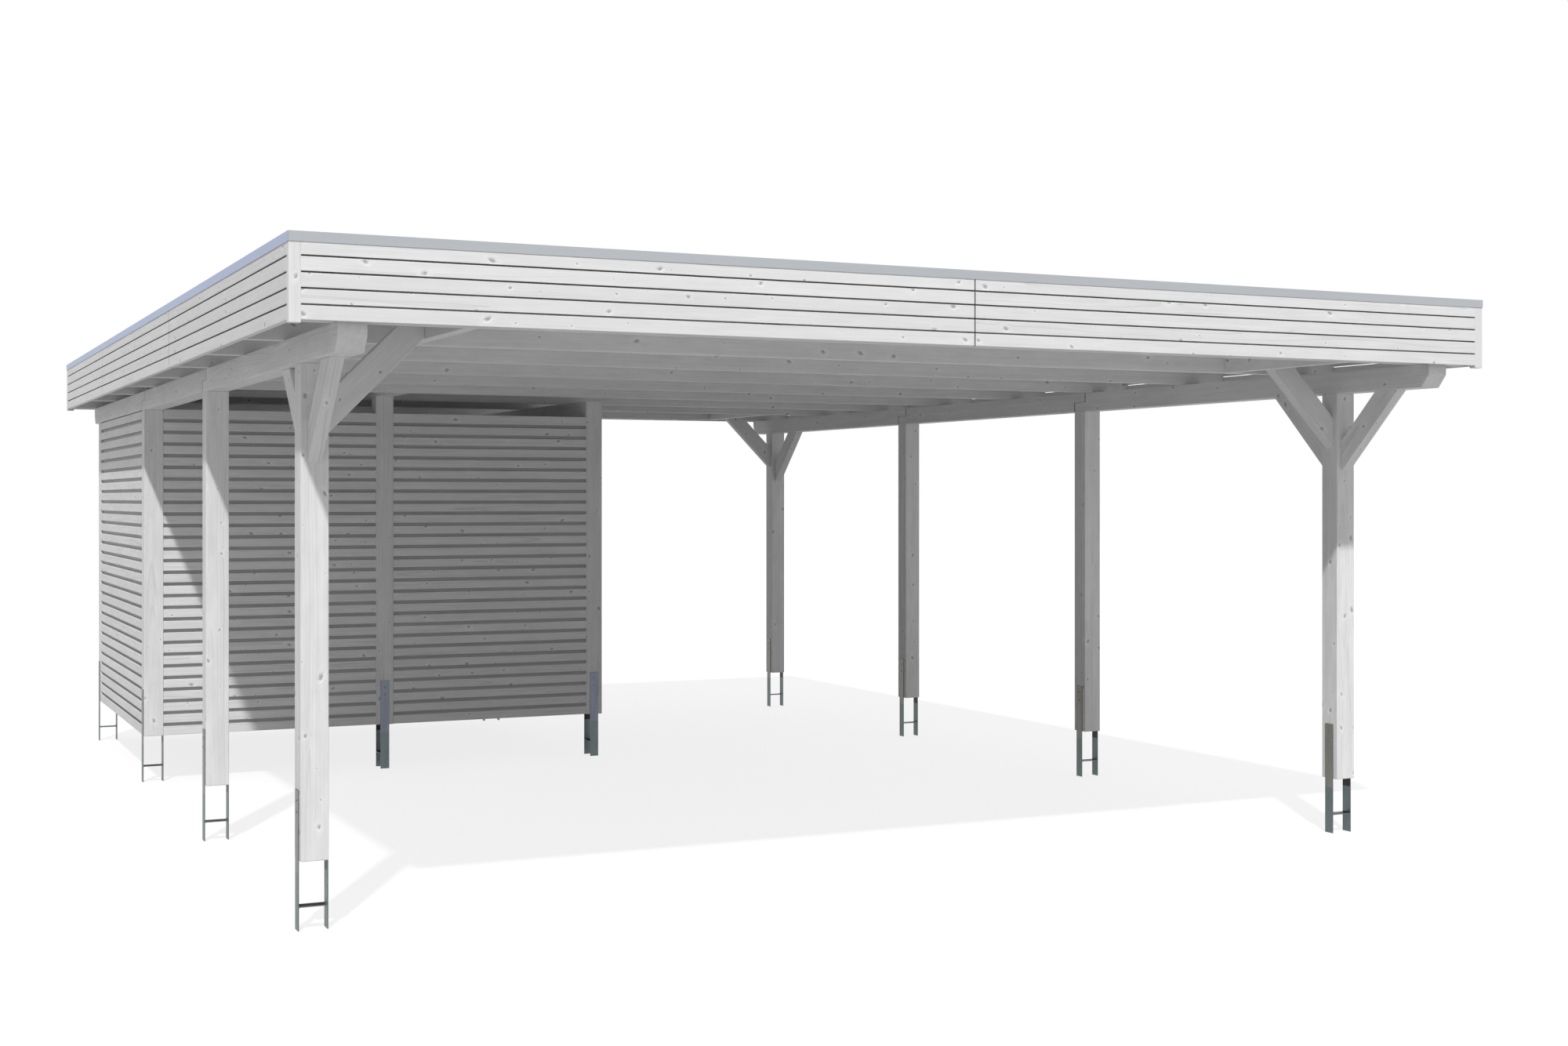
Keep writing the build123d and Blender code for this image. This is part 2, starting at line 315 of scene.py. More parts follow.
def bare_and_shaded_on_purlin(face):
    return max(in_a_joint(face), beside_a_gap(face))


def bare_and_shaded_on_board(face):
    return max(flat_in_a_joint(face), beside_a_gap(face))


# Where each board lay in its log
LOG_LENGTH = 60
PITH_ASIDE = 0.03
PITH_DEPTH = 0.9
PITH_BEYOND = 0.05
NEARLY_SQUARE = 0.05


def positive(direction):
    """The same line, pointing the way its largest component is positive."""
    largest = max(direction, key=abs)
    return direction.normalized() * (1 if largest > 0 else -1)


def grain_axes(part):
    """Along the longest edge, across the widest side, and through it."""
    along, longest = None, 0.0
    for face in part:
        for edge in face.edges:
            length = round(edge.calc_length(), 4)
            if length > longest:
                along, longest = positive(edge.verts[1].co - edge.verts[0].co), length
    through, widest = None, 0.0
    for face in part:
        area = round(face.calc_area(), 5)
        if area > widest and abs(face.normal.dot(along)) < NEARLY_SQUARE:
            through, widest = positive(face.normal), area
    return along, through.cross(along).normalized(), through


def add_grain(bm, seed, bare_and_shaded=flat_in_a_joint):
    """Writes each board's own place in its log, and where knots may lie on each of its sides.

    The third number of "side" is 0 on a glazed side, 1 on a glazed end, 2 on unglazed wood, which
    also carries painted shade, and 3 on unglazed wood in a joint, which carries deeper painted
    shade.
    """
    dice = random.Random(seed)
    grain = bm.verts.layers.float_vector.new("grain")
    tone = bm.verts.layers.float.new("tone")
    side = bm.loops.layers.float_vector.new("side")
    bm.normal_update()
    for part in loose_parts(bm):
        along, across, through = grain_axes(part)
        verts = list(dict.fromkeys(v for f in part for v in f.verts))
        centre = sum((v.co for v in verts), Vector()) / len(verts)
        half = max(abs((v.co - centre).dot(through)) for v in verts)
        start = dice.uniform(0, LOG_LENGTH)
        aside = dice.uniform(-PITH_ASIDE, PITH_ASIDE)
        depth = dice.choice((-1, 1)) * (half * PITH_DEPTH + dice.uniform(0.0, PITH_BEYOND))
        pith = Vector((0, aside, depth))
        shade = dice.random()
        shifts = [Vector((dice.uniform(0, LOG_LENGTH), dice.uniform(0, LOG_LENGTH), 0))
                  for _ in range(6)]
        for vert in verts:
            local = vert.co - centre
            place = Vector((local.dot(along) + start, local.dot(across), local.dot(through)))
            vert[grain] = place + pith
            vert[tone] = shade
        for face in part:
            facing = [face.normal.dot(axis) for axis in (along, across, through)]
            axis = max(range(3), key=lambda i: abs(facing[i]))
            shift = shifts[axis * 2 + (facing[axis] > 0)]
            hidden = bare_and_shaded(face)
            kind = 1 + hidden if hidden else int(axis == 0)
            wide, high = ((across, through), (along, through), (along, across))[axis]
            for loop in face.loops:
                local = loop.vert.co - centre
                loop[side] = Vector((local.dot(wide), local.dot(high), kind)) + shift


# Material helpers
class Shader:
    """The nodes of a material or a world, with one short method for each kind of step."""

    def __init__(self, owner):
        owner.use_nodes = True
        self.owner = owner
        self.tree = owner.node_tree
        self.tree.nodes.clear()

    def put(self, socket, value):
        if isinstance(value, bpy.types.NodeSocket):
            self.tree.links.new(value, socket)
        else:
            socket.default_value = value

    def node(self, kind, inputs=None, **settings):
        made = self.tree.nodes.new("ShaderNode" + kind)
        for key, value in settings.items():
            setattr(made, key, value)
        for key, value in (inputs or {}).items():
            self.put(made.inputs[key], value)
        return made

    def math(self, operation, *values, clamp=False):
        made = self.node("Math", operation=operation, use_clamp=clamp)
        for socket, value in zip(made.inputs, values):
            self.put(socket, value)
        return made.outputs[0]

    def product(self, first, *others):
        for other in others:
            first = self.math("MULTIPLY", first, other)
        return first

    def vector(self, operation, *values):
        made = self.node("VectorMath", operation=operation)
        for socket, value in zip(made.inputs, values):
            self.put(socket, value)
        return made.outputs[1 if operation == "LENGTH" else 0]

    def combine(self, x, y, z):
        return self.node("CombineXYZ", {0: x, 1: y, 2: z}).outputs[0]

    def parts(self, vector):
        return self.node("SeparateXYZ", {0: vector}).outputs[:3]

    def colour_parts(self, colour):
        return self.node("SeparateColor", {0: colour}).outputs[:3]

    def attribute(self, name, output="Vector"):
        return self.node("Attribute", attribute_name=name).outputs[output]

    def normal_parts(self):
        return self.parts(self.node("NewGeometry").outputs["True Normal"])

    def noise(self, vector, detail=2.0, roughness=0.5, scale=1.0, output=0):
        """Noise from 0 to 1, as a number, or as a colour from output 1."""
        inputs = {"Vector": vector, "Scale": scale, "Detail": detail, "Roughness": roughness}
        return self.node("TexNoise", inputs).outputs[output]

    def step(self, value, low, high):
        """0 below low and 1 above high, with a soft change between."""
        inputs = {"Value": value, "From Min": low, "From Max": high}
        return self.node("MapRange", inputs, interpolation_type="SMOOTHSTEP").outputs[0]

    def fade(self, value, low, high):
        """1 below low and 0 above high, with a soft change between."""
        return self.math("SUBTRACT", 1.0, self.step(value, low, high))

    def between(self, value, low, high):
        """Turns 0 to 1 into low to high."""
        return self.math("MULTIPLY_ADD", value, high - low, low)

    def mix(self, factor, first, second):
        return self.node("Mix", {0: factor, 6: first, 7: second}, data_type="RGBA").outputs[2]

    def tinted(self, light, tone):
        """A tone, lighter or darker by a number."""
        return self.vector("MULTIPLY", self.combine(light, light, light), tone)

    def bump(self, height, distance, strength=1.0):
        inputs = {"Height": height, "Distance": distance, "Strength": strength}
        return self.node("Bump", inputs).outputs[0]

    def scattered(self, place, cell):
        """One spot in each cell: three numbers of its own, and the way from the spot."""
        spots = self.node("TexVoronoi", {"Vector": self.vector("DIVIDE", place, cell), "Scale": 1.0},
                          voronoi_dimensions="2D")
        centre = self.vector("MULTIPLY", spots.outputs["Position"], cell)
        return self.colour_parts(spots.outputs["Color"]), self.vector("SUBTRACT", place, centre)

    def surface(self, **inputs):
        """The principled shader and the output."""
        names = {key.replace("_", " "): value for key, value in inputs.items()}
        shader = self.node("BsdfPrincipled", names)
        self.node("OutputMaterial", {"Surface": shader.outputs[0]})
        return self.owner


# Wood. A knot's slant and shape vary, and its radius is from the smallest to the largest
KNOTLESS_SHARE = 0.36
KNOT_LEAN = 0.8
KNOT_STRETCH = 0.72
KNOT_WOBBLE = (0.55, 1.45)
KNOT_WOBBLE_SCALE = 110.0
KNOT_RADIUS = (0.0022, 0.0104)
KNOT_RARITY = 1.8
KNOT_PUSH = 1.9
SWAY_STRETCH = (0.55, 3.0, 3.0)
RING_WIDTH = 0.0046
RING_SHARPNESS = 3.0
RING_END = (0.93, 1.0)
RING_SWAY_ACROSS = 0.035
RING_SWAY_THROUGH = 0.022
RING_DARKNESS = (0.45, 2.15)
DARK_RING_RARITY = 3.0
LATE_WOOD = 0.085
CRACK_CELL = (0.62, 0.041, 1.0)
CRACK_SHIFT = (7.3, 3.1, 0.0)
CRACK_LENGTH = (0.02, 0.16)
CRACK_WIDTH = 0.0006
BOARD_TONES = (0.975, 1.025)
WOOD_ROUGHNESS = (0.52, 0.68)

# Where each part of a knot begins and stops to fade, in radii of the knot
KNOT_BODY = (0.50, 1.25)
KNOT_CORE = (0.0, 0.70)
KNOT_HALO = (1.0, 4.2)
KNOT_DIP = (0.2, 2.0)

# How much lighter or darker the wood is by each mark on it. The darkening of unglazed wood and
# of joints is partly the wood's own tone and partly painted shade
HALO_CHANGE = 0.05
END_CHANGE = 0.02
BARE_AND_SHADED_CHANGE = -0.38
JOINT_SHADE_CHANGE = -0.55
KNOT_CHANGE = -0.42
CORE_CHANGE = -0.10
CRACK_CHANGE = -0.55

# Lengths and widths of the noise along the grain, its detail, and how far it changes the tone
GRAIN_FIELDS = ((5.0, 420.0, 3.0, 0.11), (1.1, 46.0, 2.0, 0.10), (2.4, 14.0, 2.0, 0.13),
                (7.0, 20.0, 2.0, 0.09))

# The relief of the wood, in steps of its depth
WOOD_RELIEF = 0.0004
RING_RELIEF = 0.35
FIBRE_RELIEF = 0.5
KNOT_HOLLOW = 900.0
CRACK_RELIEF = 1.6


def white_glazed_spruce(name, tone, knot_cell, crack_share, figure=1.0):
    """Planed spruce under a thin white glaze: rings, fibres, knots and a few drying cracks.

    A larger figure gives darker rings and streaks.
    """
    s = Shader(bpy.data.materials.new(name))
    grain = s.attribute("grain")
    across, through = s.parts(grain)[1:]
    flat = s.attribute("side")
    kind = s.parts(flat)[2]
    end_face = s.math("MINIMUM", kind, 1.0)
    # Unglazed faces, darker as unglazed wood and as painted shade, and joints with deeper painted
    # shade
    bare_and_shaded = s.math("SUBTRACT", kind, 1.0, clamp=True)
    joint_shade = s.math("SUBTRACT", kind, 2.0, clamp=True)
    on_side = s.math("SUBTRACT", 1.0, end_face)

    # Knots, at most one in each cell of the side, each in a shallow hollow
    dice, away = s.scattered(flat, (*knot_cell, 1.0))
    away = s.parts(away)
    lean = s.between(dice[2], -KNOT_LEAN, KNOT_LEAN)
    slant = s.math("MULTIPLY_ADD", away[1], lean, away[0])
    oval = s.combine(s.product(slant, KNOT_STRETCH), away[1], 0.0)
    wobble = s.between(s.noise(flat, scale=KNOT_WOBBLE_SCALE), *KNOT_WOBBLE)
    distance = s.product(s.vector("LENGTH", oval), wobble)
    radius = s.between(s.math("POWER", dice[0], KNOT_RARITY), *KNOT_RADIUS)
    ratio = s.math("DIVIDE", distance, radius)
    present = s.product(s.math("GREATER_THAN", dice[1], KNOTLESS_SHARE), on_side)
    body = s.product(s.fade(ratio, *KNOT_BODY), present)
    core = s.product(s.fade(ratio, *KNOT_CORE), present)
    halo = s.product(s.fade(ratio, *KNOT_HALO), present)
    hollow = s.product(s.fade(ratio, *KNOT_DIP), present, radius)

    # Year rings about the pith, pushed aside by the knots, and some of them darker
    drift = s.vector("MULTIPLY", grain, SWAY_STRETCH)
    sway = s.colour_parts(s.noise(drift, roughness=0.45, output=1))
    ring_across = s.math("ADD", across, s.between(sway[0], -RING_SWAY_ACROSS, RING_SWAY_ACROSS))
    ring_through = s.math("ADD", through,
                          s.between(sway[1], -RING_SWAY_THROUGH, RING_SWAY_THROUGH))
    from_pith = s.vector("LENGTH", s.combine(ring_across, ring_through, 0.0))
    pushed = s.math("ADD", from_pith, s.product(halo, radius, KNOT_PUSH))
    turns = s.math("DIVIDE", pushed, RING_WIDTH)
    rings = s.math("FRACT", turns)
    year = s.node("TexWhiteNoise", {"W": s.math("FLOOR", turns)}, noise_dimensions="1D").outputs[0]
    darkness = s.between(s.math("POWER", year, DARK_RING_RARITY), *RING_DARKNESS)
    late = s.product(s.math("POWER", rings, RING_SHARPNESS), s.fade(rings, *RING_END), darkness)

    # Fibres, streaks and clouds, all drawn out along the grain
    fields = []
    for length, width, detail, depth in GRAIN_FIELDS:
        drawn = s.vector("MULTIPLY", grain, (length, width, width))
        fields.append((s.noise(drawn, detail=detail, roughness=0.6), depth * figure))
    fibre = fields[0][0]

    # Drying cracks, short dark lines along the grain
    crack_dice, crack_away = s.scattered(s.vector("ADD", flat, CRACK_SHIFT), CRACK_CELL)
    crack_away = s.parts(s.vector("ABSOLUTE", crack_away))
    run = s.math("DIVIDE", crack_away[0], s.between(crack_dice[0], *CRACK_LENGTH))
    taper = s.product(s.math("SUBTRACT", 1.0, run, clamp=True), CRACK_WIDTH)
    line = s.fade(crack_away[1], s.product(taper, 0.5), taper)
    here = s.product(s.math("LESS_THAN", crack_dice[1], crack_share), on_side)
    crack = s.product(line, here, s.math("LESS_THAN", run, 1.0))

    # Colour and relief
    light = s.between(late, 1.0, 1.0 - LATE_WOOD * figure)
    for field, depth in fields:
        light = s.product(light, s.between(field, 1.0 - depth / 2, 1.0 + depth / 2))
    light = s.product(light, s.between(s.attribute("tone", "Fac"), *BOARD_TONES))
    # Unglazed faces and joints are darkened partly as unglazed wood and partly as painted shade
    for mask, change in ((halo, HALO_CHANGE), (end_face, END_CHANGE), (bare_and_shaded, BARE_AND_SHADED_CHANGE),
                         (joint_shade, JOINT_SHADE_CHANGE), (body, KNOT_CHANGE), (core, CORE_CHANGE),
                         (crack, CRACK_CHANGE)):
        light = s.product(light, s.between(mask, 1.0, 1.0 + change))
    height = s.product(late, RING_RELIEF)
    for mask, relief in ((fibre, FIBRE_RELIEF), (hollow, -KNOT_HOLLOW), (crack, -CRACK_RELIEF)):
        height = s.math("MULTIPLY_ADD", mask, relief, height)
    return s.surface(Base_Color=s.tinted(light, tone), Specular_IOR_Level=0.35,
                     Roughness=s.between(fibre, *WOOD_ROUGHNESS),
                     Normal=s.bump(height, WOOD_RELIEF))


# Steel of the anchors, with painted light. Its tone changes at a painted line at a fixed height,
# with painted reflections that differ with the way a face looks, and with painted shade between
# the legs and on faces that look up
PAINTED_LIGHT_LINE = 0.250
PAINTED_LIGHT_LINE_BLUR = 0.002
ANCHOR_LOW_TONE = (0.155, 0.188, 0.190, 1)
ANCHOR_SIDE_PAINTED_REFLECTION = (0.235, 0.225, 0.202, 1)
ANCHOR_FRONT_PAINTED_REFLECTION = (0.185, 0.205, 0.250, 1)
ANCHOR_PAINTED_SHADE = (0.045, 0.042, 0.040, 1)
FACING = (0.4, 0.6)
CRYSTAL_TONES = (0.92, 1.08)
STREAK_TONES = (0.83, 1.17)
STREAK_STRETCH = (34.0, 34.0, 5.0)
STREAK_RELIEF = 0.0004


def painted_anchor_light(s, height):
    """Painted light: one tone below a painted line, above it a painted reflection for each way a
    face looks, and painted shade between the legs and on faces that look up.
    """
    normal = s.normal_parts()
    sideways = s.step(s.math("ABSOLUTE", normal[0]), *FACING)
    upper = s.mix(sideways, ANCHOR_FRONT_PAINTED_REFLECTION, ANCHOR_SIDE_PAINTED_REFLECTION)
    upper = s.mix(s.attribute("leg_shade_painted", "Fac"), upper, ANCHOR_PAINTED_SHADE)
    over_painted_line = s.step(height, PAINTED_LIGHT_LINE - PAINTED_LIGHT_LINE_BLUR, PAINTED_LIGHT_LINE + PAINTED_LIGHT_LINE_BLUR)
    tone = s.mix(over_painted_line, ANCHOR_LOW_TONE, upper)
    return s.mix(s.step(normal[2], *FACING), tone, ANCHOR_PAINTED_SHADE)


def galvanised_steel(name, tone, roughness, spangle=0.011):
    """Hot dip galvanised steel: dull, with a faint pattern of crystals and darker streaks.

    With no tone it takes the painted light of an anchor: painted reflections and painted shade.
    """
    s = Shader(bpy.data.materials.new(name))
    place = s.node("TexCoord").outputs["Object"]
    crystals = s.node("TexVoronoi", {"Vector": place, "Scale": 1.0 / spangle})
    shade = s.colour_parts(crystals.outputs["Color"])[0]
    drip = s.noise(s.vector("MULTIPLY", place, STREAK_STRETCH), detail=3.0, roughness=0.6)
    light = s.product(s.between(shade, *CRYSTAL_TONES), s.between(drip, *STREAK_TONES))
    if tone is None:
        # The anchor's painted reflections and painted shade
        tone = painted_anchor_light(s, s.parts(place)[2])
    return s.surface(Base_Color=s.tinted(light, tone), Metallic=0.85,
                     Roughness=s.between(shade, roughness - 0.06, roughness + 0.06),
                     Normal=s.bump(drip, STREAK_RELIEF, 0.5))


# The coat of the metal edge, and the dust and granules of the roof sheet
COAT_GRAIN_SCALE = 260.0
COAT_GRAIN_TONES = (0.965, 1.035)
COAT_WAVE_STRETCH = (1.6, 1.6, 9.0)
COAT_WAVE_TONES = (0.96, 1.04)
COAT_WAVE_RELIEF = 0.004
DUST_SCALE = 2.3
GRIT_SCALE = 420.0
RUBBER_TONES = (0.75, 1.25)
GRIT_RELIEF = 0.0006


def coated_metal(name, tone, left_painted_reflection):
    """Folded sheet with a satin coat, faintly uneven, with a painted reflection of blue sky on its
    left side.
    """
    s = Shader(bpy.data.materials.new(name))
    place = s.node("TexCoord").outputs["Object"]
    grain = s.noise(place, scale=COAT_GRAIN_SCALE)
    wave = s.noise(s.vector("MULTIPLY", place, COAT_WAVE_STRETCH), detail=1.0)
    light = s.product(s.between(grain, *COAT_GRAIN_TONES), s.between(wave, *COAT_WAVE_TONES))
    # Painted reflection: faces that look left take a bluer tone
    leftward = s.step(s.product(s.normal_parts()[0], -1.0), *FACING)
    tone = s.mix(leftward, tone + (1,), left_painted_reflection + (1,))
    return s.surface(Base_Color=s.tinted(light, tone), Metallic=0.35, Roughness=0.42,
                     Normal=s.bump(wave, COAT_WAVE_RELIEF, 0.35))


def roof_rubber(name, tone):
    """Dark roof sheet with a dusty bloom and small granules."""
    s = Shader(bpy.data.materials.new(name))
    place = s.node("TexCoord").outputs["Object"]
    dust = s.noise(place, detail=4.0, scale=DUST_SCALE, roughness=0.6)
    grit = s.noise(place, scale=GRIT_SCALE)
    light = s.product(s.between(dust, *RUBBER_TONES), s.between(grit, *RUBBER_TONES))
    return s.surface(Base_Color=s.tinted(light, tone), Roughness=0.82, Specular_IOR_Level=0.25,
                     Normal=s.bump(grit, GRIT_RELIEF, 0.6))


WOOD_TONE = (0.80, 0.80, 0.80)
timber = white_glazed_spruce("timber_finish", WOOD_TONE, (0.20, 0.085), 0.10, 1.6)
boards = white_glazed_spruce("board_finish", WOOD_TONE, (0.25, 0.075), 0.02)
wall_wood = white_glazed_spruce("wall_board_finish", WOOD_TONE, (0.22, 0.078), 0.02, 1.3)
deck_wood = white_glazed_spruce("deck_board_finish", WOOD_TONE, (0.30, 0.100), 0.02)
# The anchor steel carries painted reflections and painted shade
anchor_steel = galvanised_steel("galvanised_finish", None, 0.42)
screw_steel = galvanised_steel("screw_finish", (0.16, 0.18, 0.19), 0.38, spangle=0.004)
fitting_steel = galvanised_steel("fitting_finish", (0.52, 0.54, 0.56), 0.34, spangle=0.006)
# Near-black, as painted shade for the keyhole
painted_keyhole_shade = roof_rubber("keyhole_shadow", (0.012, 0.012, 0.012))
# The second tone is a painted reflection of blue sky on the left side
edge_metal = coated_metal("edge_metal_finish", (0.480, 0.505, 0.530), (0.400, 0.480, 0.680))
roof_sheet = roof_rubber("roof_sheet_finish", (0.060, 0.062, 0.066))


# Timbers and the boards round the roof: the solids with eased edges
def timber_piece(name, slot, material, ease_width, node, bare_and_shaded=flat_in_a_joint):
    bm = eased_solids(ease_width, node)
    add_grain(bm, name, bare_and_shaded)
    piece(bm, name, slot, material, node)


for node in nodes_named("post_", "store_post_", "braces_", "rafters", "trimmers", "store_header"):
    timber_piece(node + "_timber", "timber", timber, POST_EASE, node)
for node in nodes_named("purlin_"):
    timber_piece(node + "_timber", "timber", timber, POST_EASE, node, bare_and_shaded_on_purlin)
for node in nodes_named("fascia_"):
    timber_piece(node + "_boards", "fascia_boards", boards, BOARD_EASE, node, bare_and_shaded_on_board)
timber_piece("roof_upstand_timbers", "timber", timber, BOARD_EASE, "roof_upstands")


# Deck boards along Y, with a V joint underneath
DECK_BOARD_WIDTH = 0.121
DECK_JOINT = 0.0006
DECK_V = 0.004


def deck_boards():
    low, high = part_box("roof_deck")
    count = round((high.x - low.x) / DECK_BOARD_WIDTH)
    width = (high.x - low.x) / count
    turn = Matrix.Rotation(math.pi / 2, 4, "Z")
    bm = bmesh.new()
    for i in range(count):
        near = low.x + i * width + DECK_JOINT / 2
        far = low.x + (i + 1) * width - DECK_JOINT / 2
        section = [(-near, high.z), (-far, high.z), (-far, low.z + DECK_V), (-far + DECK_V, low.z),
                   (-near - DECK_V, low.z), (-near, low.z + DECK_V)]
        bar_into(bm, section, low.y, high.y, turn)
    outward(bm)
    add_grain(bm, "deck")
    piece(bm, "roof_deck_boards", "deck_boards", deck_wood, "roof_deck")


deck_boards()


# Walls of the store room, board by board, in front of their frames
FACE_EASE = 0.003
REBATE_HEIGHT = 0.008
TONGUE_GAP = 0.0003
# Depths behind the face where the boards are darkened as unglazed wood and as painted shade
BARE_AND_SHADED_FROM = FACE_EASE * 1.2
BARE_AND_SHADED_TO = BOARD_THICKNESS + 0.001
SWAP_X_AND_Y = Matrix(((0, 1, 0, 0), (1, 0, 0, 0), (0, 0, 1, 0), (0, 0, 0, 1)))


def rounded(corner, before, after, radius):
    """Three points that round one corner of a (y, z) outline."""
    first = corner + (before - corner).normalized() * radius
    last = corner + (after - corner).normalized() * radius
    middle = (first + last) / 4 + corner / 2
    return [first, middle, last]


def board_section(index, top):
    """The (y, z) outline of a wall board, with a tongue that runs up behind the next board."""
    low = FIRST_GROOVE + (index - 1) * BOARD_PITCH + GROOVE_HEIGHT if index else WALL_BOTTOM
    last = index == BOARD_COUNT - 1
    face_top = top if last else FIRST_GROOVE + index * BOARD_PITCH
    outer_low, outer_high = Vector((0, low)), Vector((0, face_top))
    back, tongue = BOARD_THICKNESS, GROOVE_DEPTH
    points = rounded(outer_low, Vector((back, low)), outer_high, FACE_EASE)
    points += rounded(outer_high, outer_low, Vector((tongue, face_top)), FACE_EASE)
    if last:
        points.append(Vector((back, face_top)))
    else:
        tip = face_top + GROOVE_HEIGHT + REBATE_HEIGHT - TONGUE_GAP
        points += [Vector((tongue, face_top)), Vector((tongue, tip)), Vector((back, tip))]
    if index == 0:
        points.append(Vector((back, low)))
    else:
        lip, rebate = tongue - TONGUE_GAP, low + REBATE_HEIGHT
        points += [Vector((back, rebate)), Vector((lip, rebate)), Vector((lip, low))]
    return [tuple(p) for p in points]


def cut_level(bm, level, keep_above):
    """Cuts flat through everything at one height and closes the ends."""
    cut = bmesh.ops.bisect_plane(bm, geom=bm.verts[:] + bm.edges[:] + bm.faces[:],
                                 plane_co=(0, 0, level), plane_no=(0, 0, 1),
                                 clear_inner=keep_above, clear_outer=not keep_above)
    rim = [e for e in cut["geom_cut"] if isinstance(e, bmesh.types.BMEdge)]
    bmesh.ops.edgeloop_fill(bm, edges=rim)


def cladding(bm, start, end, top, place, above=None, below=None):
    """The boards of one wall, from start to end along its local X."""
    part = bmesh.new()
    for index in range(BOARD_COUNT):
        bar_into(part, board_section(index, top), start, end, place)
    if above is not None:
        cut_level(part, above, True)
    if below is not None:
        cut_level(part, below, False)
    join(bm, part)


def wall_frame(bm, start, end, top, place):
    """The timbers behind the boards of one wall, notched where the leg of an anchor passes."""
    part = bmesh.new()
    foot = ANCHOR_LEG_TOP + ANCHOR_CLEARANCE
    for edge, step in ((start, 1), (end, -1)):
        notch = edge + step * (ANCHOR_THICKNESS + ANCHOR_CLEARANCE)
        inner = edge + step * STUD_WIDTH
        outline = [(notch, WALL_BOTTOM), (inner, WALL_BOTTOM), (inner, top), (edge, top),
                   (edge, foot), (notch, foot)]
        bar_into(part, outline, BOARD_THICKNESS, WALL_DEPTH, place @ SWAP_X_AND_Y)
    near, far = start + STUD_WIDTH, end - STUD_WIDTH
    if far - near > STUD_WIDTH:
        for low in (WALL_BOTTOM, (WALL_BOTTOM + top) / 2 - STUD_WIDTH / 2, top - STUD_WIDTH):
            box_into(part, (near, BOARD_THICKNESS, low), (far, WALL_DEPTH, low + STUD_WIDTH), place)
    outward(part)
    ease(part, FRAME_EASE, 1)
    join(bm, part)


def wall_place(node, turn):
    """Local X along the wall and local -Y out of it."""
    low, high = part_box(node)
    x = high.x if turn in (180, 90) else low.x
    y = high.y if turn in (180, -90) else low.y
    return Matrix.Translation((x, y, 0)) @ Matrix.Rotation(math.radians(turn), 4, "Z")


def wall_length(node, turn):
    low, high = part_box(node)
    return high.x - low.x if turn in (0, 180) else high.y - low.y


def behind_face(place):
    """Finds the unglazed faces of a wall, which also carry painted shade: inside its grooves and on
    the back of its boards.
    """
    back = place.inverted()

    def bare_and_shaded(face):
        return BARE_AND_SHADED if BARE_AND_SHADED_FROM < (back @ face.calc_center_median()).y < BARE_AND_SHADED_TO else 0
    return bare_and_shaded


def wall(node, turn):
    place, length = wall_place(node, turn), wall_length(node, turn)
    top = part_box(node)[1].z
    bm = bmesh.new()
    cladding(bm, 0, length, top, place)
    wall_frame(bm, 0, length, top, place)
    add_grain(bm, node, behind_face(place))
    piece(bm, node + "_panel", "wall_boards", wall_wood, node)


for node, turn in (("store_wall_left", -90), ("store_wall_front_left", 0),
                   ("store_wall_front_right", 0), ("store_wall_rear_left", 180),
                   ("store_wall_rear_right", 180)):
    wall(node, turn)


# Right side of the store room, with its door. Thin stops behind the boards close its gap
STOP_PLAY = 0.0004
STOP_SET_BACK = 0.002


def wall_with_doorway(node, place, length, top, start, end, head):
    bm = bmesh.new()
    over_start, over_end = start + OVER_DOOR_PLAY, end - OVER_DOOR_PLAY
    cladding(bm, 0, start, top, place)
    cladding(bm, over_start, over_end, top, place, above=head)
    cladding(bm, end, length, top, place)
    wall_frame(bm, 0, start, top, place)
    wall_frame(bm, end, length, top, place)
    box_into(bm, (over_start, BOARD_THICKNESS, head), (over_end, WALL_DEPTH, top), place)
    stop = DOOR_GAP - STOP_PLAY
    for near, far, low in ((start, start + stop, WALL_BOTTOM), (end - stop, end, WALL_BOTTOM),
                           (start + stop, end - stop, head - stop)):
        box_into(bm, (near, BOARD_THICKNESS + STOP_SET_BACK, low), (far, WALL_DEPTH, head), place)
    add_grain(bm, node, behind_face(place))
    piece(bm, node + "_panel", "wall_boards", wall_wood, node)


def door_leaf(place, wall_top, start, end, head):
    """The boards of the door, and the three ledges behind them."""
    bm = bmesh.new()
    cladding(bm, start, end, wall_top, place, below=head)
    for middle in (WALL_BOTTOM + LEDGE_INSET, (WALL_BOTTOM + head) / 2, head - LEDGE_INSET):
        low, high = middle - LEDGE_HEIGHT / 2, middle + LEDGE_HEIGHT / 2
        ledge = bmesh.new()
        box_into(ledge, (start, BOARD_THICKNESS, low), (end, WALL_DEPTH, high), place)
        ease(ledge, BOARD_EASE, 1)
        join(bm, ledge)
    add_grain(bm, "door", behind_face(place))
    piece(bm, "store_door_leaf", "wall_boards", wall_wood, "store_door")


def right_side():
    node = "store_wall_right"
    place, length = wall_place(node, 90), wall_length(node, 90)
    wall_low, wall_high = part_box(node)
    door_low, door_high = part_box("store_door")
    start, end, head = door_low.y - wall_low.y, door_high.y - wall_low.y, door_high.z
    wall_with_doorway(node, place, length, wall_high.z, start - DOOR_GAP, end + DOOR_GAP,
                      head + DOOR_GAP)
    door_leaf(place, wall_high.z, start, end, head)


right_side()


# Metal: the solids with slightly rounded edges
LEG_DISTANCE = 0.130
CLEAR_OF_LEG = 0.001
LYING = 0.5


